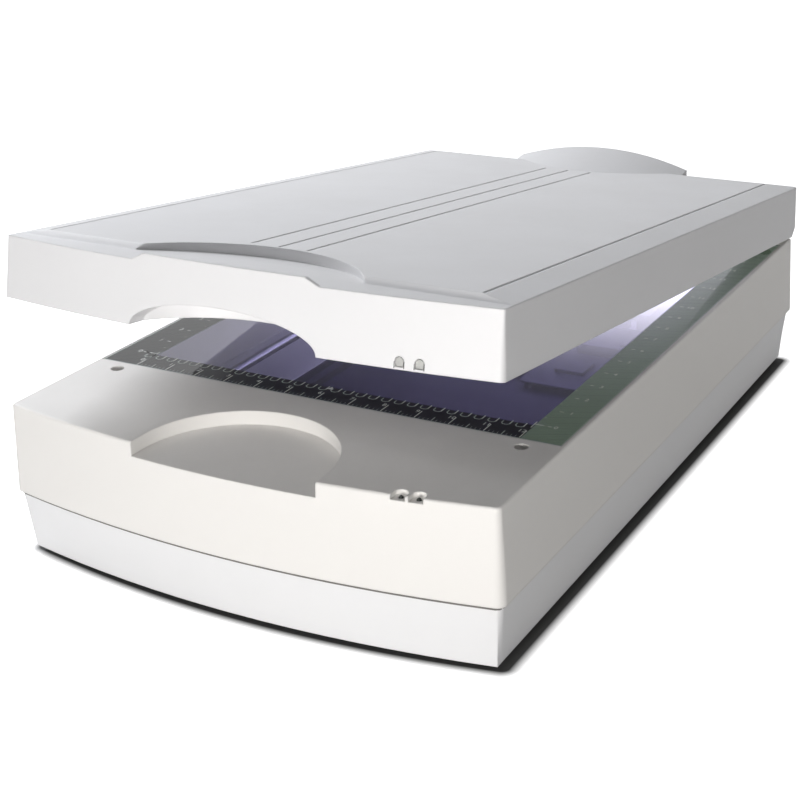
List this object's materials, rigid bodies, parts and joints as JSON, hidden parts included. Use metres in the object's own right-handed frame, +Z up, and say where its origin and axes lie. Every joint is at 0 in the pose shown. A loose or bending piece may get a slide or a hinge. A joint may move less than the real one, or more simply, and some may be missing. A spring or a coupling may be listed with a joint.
{
  "type": "flatbed document scanner",
  "caption": "Large-format flatbed scanner with a propped transparency lid, glass bed with printed rulers, moving scan and lamp carriages.",
  "frame": {"origin": "on the table, under the middle of the object's footprint with the lid at rest", "axes": "+Z up, +Y from the open front to the hinges, +X to the operator's right"},
  "size_m": [0.3774, 0.6252, 0.2373],
  "materials": {
    "warm_white_plastic": "fine spark-eroded texture",
    "cool_white_plastic": "fine spark-eroded texture",
    "lid_plastic": "fine spark-eroded texture",
    "inner_plastic": "matt, absorbs stray light",
    "glass": "clear float glass, polished edge",
    "mask_print": "screen-printed black-green film",
    "white_strip": "matt reference white",
    "rubber": "soft matt",
    "steel": "zinc-plated sheet",
    "ground_steel": "ground and polished",
    "aluminium": "satin",
    "belt_rubber": "moulded neoprene",
    "bronze": "sintered bronze",
    "gear_plastic": "natural acetal",
    "board": "green solder mask",
    "motor_metal": "black lacquer",
    "lamp_glass": "phosphor-coated tube",
    "mirror": "front-silvered",
    "led_lens": "smoked lens",
    "clear_guide": "clear acrylic",
    "diffuser": "opal acrylic",
    "hinge_plastic": "glass-filled nylon",
    "black_plastic": "moulded"
  },
  "bodies": {
    "base": {"lower_housing": "cool_white_plastic", "upper_housing": "warm_white_plastic", "rubber_feet": "rubber", "case_screws": "steel", "glass_bed": "glass", "ruler_mask": "mask_print", "calibration_strip": "white_strip", "status_leds": "led_lens", "hinge_sockets": "black_plastic", "chassis_plate": "steel", "guide_rod": "ground_steel", "rod_holders": "aluminium", "support_rail": "steel", "timing_belt": "belt_rubber", "reduction_belt": "belt_rubber", "drive_motor": "motor_metal", "pulley_axles": "ground_steel", "main_board": "board", "power_board": "board", "power_inlet": "black_plastic", "switch_bezel": "black_plastic", "port_panel": "steel", "data_ports": "steel", "accessory_port": "steel"},
    "left_post": {"left_hinge_post": "hinge_plastic"},
    "right_post": {"right_hinge_post": "hinge_plastic"},
    "power_rocker": {"power_switch": "black_plastic"},
    "lock_pin": {"transit_lock": "black_plastic"},
    "motor_rotor": {"motor_pulley": "aluminium"},
    "drive_wheel": {"drive_pulley": "gear_plastic"},
    "idler_wheel": {"idler_pulley": "gear_plastic"},
    "scan_carriage": {"carriage_frame": "inner_plastic", "lamp_tubes": "lamp_glass", "lamp_holders": "rubber", "lamp_reflectors": "aluminium", "scan_mirrors": "mirror", "lens_barrel": "inner_plastic", "sensor_board": "board", "rod_bushings": "bronze", "belt_clamp": "inner_plastic"},
    "roller": {"carriage_roller": "gear_plastic"},
    "lid": {"lid_top_cover": "lid_plastic", "lid_bottom_frame": "lid_plastic", "diffuser_panel": "diffuser", "lid_bumpers": "rubber", "lid_screws": "steel", "light_guides": "clear_guide", "lid_cable_gland": "rubber", "hinge_brackets": "steel", "hinge_pins": "ground_steel", "friction_washers": "steel", "lid_guide_rod": "ground_steel", "lid_timing_belt": "belt_rubber", "lid_motor": "motor_metal", "lid_board": "board"},
    "lid_drive_wheel": {"lid_drive_pulley": "gear_plastic"},
    "lid_idler_wheel": {"lid_idler_pulley": "gear_plastic"},
    "lamp_carriage": {"lid_lamp_carriage": "inner_plastic", "lid_lamp_tube": "lamp_glass", "lid_reflector": "aluminium"}
  },
  "joints": [
    {"name": "hinge_lift", "type": "slide", "parent": "base", "child": "right_post", "axis": [0, 0, 1], "range_m": [0, 0.02]},
    {"name": "left_hinge_lift", "type": "slide", "parent": "base", "child": "left_post", "axis": [0, 0, 1], "range_m": [0, 0.02]},
    {"name": "lid_hinge", "type": "hinge", "parent": "right_post", "child": "lid", "pos_m": [0.168, 0.29078, 0.1245], "axis": [-1, 0, 0], "range_deg": [-7.38, 54.62]},
    {"name": "scan_travel", "type": "slide", "parent": "base", "child": "scan_carriage", "axis": [0, 1, 0], "range_m": [0, 0.436]},
    {"name": "drive_wheel_turn", "type": "hinge", "parent": "base", "child": "drive_wheel", "pos_m": [-0.11, -0.26322, 0.044], "axis": [0, 0, 1], "range_deg": [-10, 3433]},
    {"name": "idler_turn", "type": "hinge", "parent": "base", "child": "idler_wheel", "pos_m": [-0.11, 0.26478, 0.044], "axis": [0, 0, 1], "range_deg": [-10, 3433]},
    {"name": "motor_turn", "type": "hinge", "parent": "base", "child": "motor_rotor", "pos_m": [-0.062, -0.26322, 0.036], "axis": [0, 0, 1], "range_deg": [-30, 11665]},
    {"name": "roller_turn", "type": "hinge", "parent": "scan_carriage", "child": "roller", "pos_m": [0.149, -0.20822, 0.0683], "axis": [-1, 0, 0], "range_deg": [-10, 4174]},
    {"name": "lamp_travel", "type": "slide", "parent": "lid", "child": "lamp_carriage", "axis": [0, 0.9917, -0.1284], "range_m": [0, 0.43]},
    {"name": "lid_drive_turn", "type": "hinge", "parent": "lid", "child": "lid_drive_wheel", "pos_m": [0.1705, -0.21439, 0.19467], "axis": [0, 0.1284, 0.9917], "range_deg": [-5876, 10]},
    {"name": "lid_idler_turn", "type": "hinge", "parent": "lid", "child": "lid_idler_wheel", "pos_m": [0.1705, 0.26759, 0.13224], "axis": [0, 0.1284, 0.9917], "range_deg": [-5876, 10]},
    {"name": "power_switch_rock", "type": "hinge", "parent": "base", "child": "power_rocker", "pos_m": [-0.014, 0.28399, 0.028], "axis": [-1, 0, 0], "range_deg": [0, 18]},
    {"name": "transit_lock_push", "type": "slide", "parent": "base", "child": "lock_pin", "axis": [0, 0, 1], "range_m": [0, 0.008]}
  ],
  "couplings": [
    {"joint": "left_hinge_lift", "follows": "hinge_lift", "ratio": 1},
    {"joint": "drive_wheel_turn", "follows": "scan_travel", "rad_per_m": 136.99},
    {"joint": "idler_turn", "follows": "scan_travel", "rad_per_m": 136.99},
    {"joint": "motor_turn", "follows": "scan_travel", "rad_per_m": 465.75},
    {"joint": "roller_turn", "follows": "scan_travel", "rad_per_m": 166.67},
    {"joint": "lid_drive_turn", "follows": "lamp_travel", "rad_per_m": -238.1},
    {"joint": "lid_idler_turn", "follows": "lamp_travel", "rad_per_m": -238.1}
  ]
}
